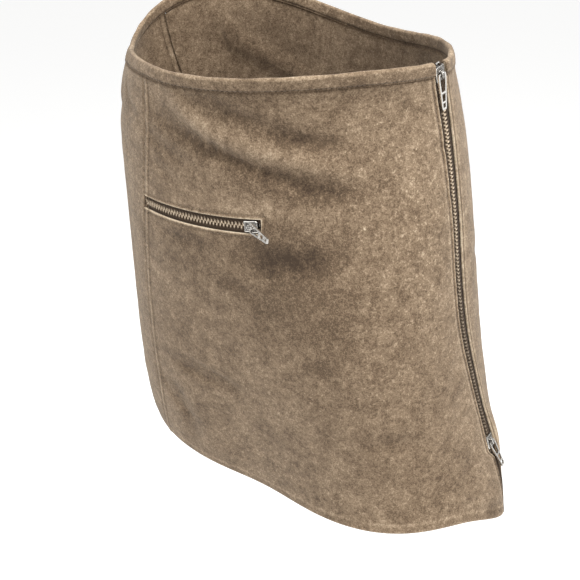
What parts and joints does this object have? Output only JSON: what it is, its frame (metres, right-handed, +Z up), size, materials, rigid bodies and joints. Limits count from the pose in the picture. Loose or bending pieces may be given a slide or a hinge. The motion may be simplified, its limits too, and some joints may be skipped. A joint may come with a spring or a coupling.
{
  "type": "suede mini skirt",
  "caption": "Straight mini skirt in taupe suede with a bound waist, an exposed two-way zip down one side, a zipped pocket across the front and a small slit at the hem.",
  "frame": {"origin": "centre of the waist opening, where the wearer's waist holds the skirt", "axes": "+Z up, +X towards the wearer's left, the front faces -Y"},
  "size_m": [0.3994, 0.2568, 0.4386],
  "materials": {
    "suede": "brushed nap, matt",
    "zip_tape": "woven tape, matt",
    "antique_metal": "antique silver, worn",
    "pocket_cotton": "plain cotton, matt"
  },
  "bodies": {
    "skirt": {"front_panel": "suede", "side_panel": "suede", "back_panel": "suede", "waist_binding": "suede", "main_zip_tape_front": "zip_tape", "main_zip_tape_back": "zip_tape", "main_zip_chain": "antique_metal", "open_teeth_front": "antique_metal", "open_teeth_back": "antique_metal", "pocket_tape_upper": "zip_tape", "pocket_tape_lower": "zip_tape", "pocket_zip_chain": "antique_metal", "pocket_bag": "pocket_cotton", "top_slider": "antique_metal", "bottom_slider": "antique_metal", "pocket_slider": "antique_metal"},
    "top_tab": {"top_pull": "antique_metal"},
    "bottom_tab": {"bottom_pull": "antique_metal"},
    "pocket_tab": {"pocket_pull": "antique_metal"}
  },
  "joints": [
    {"name": "top_pull_hinge", "type": "hinge", "parent": "skirt", "child": "top_tab", "pos_m": [0.1681, -0.00621, -0.00975], "axis": [-0.1622, -0.9669, -0.1969], "range_deg": [-1, 155]},
    {"name": "bottom_pull_hinge", "type": "hinge", "parent": "skirt", "child": "bottom_tab", "pos_m": [0.21012, 0.03264, -0.33601], "axis": [0.1068, -0.9584, -0.2645], "range_deg": [-3, 165]},
    {"name": "pocket_pull_hinge", "type": "hinge", "parent": "skirt", "child": "pocket_tab", "pos_m": [0.05716, -0.10053, -0.12393], "axis": [-0.0927, -0.0361, -0.995], "range_deg": [-30, 140]}
  ]
}
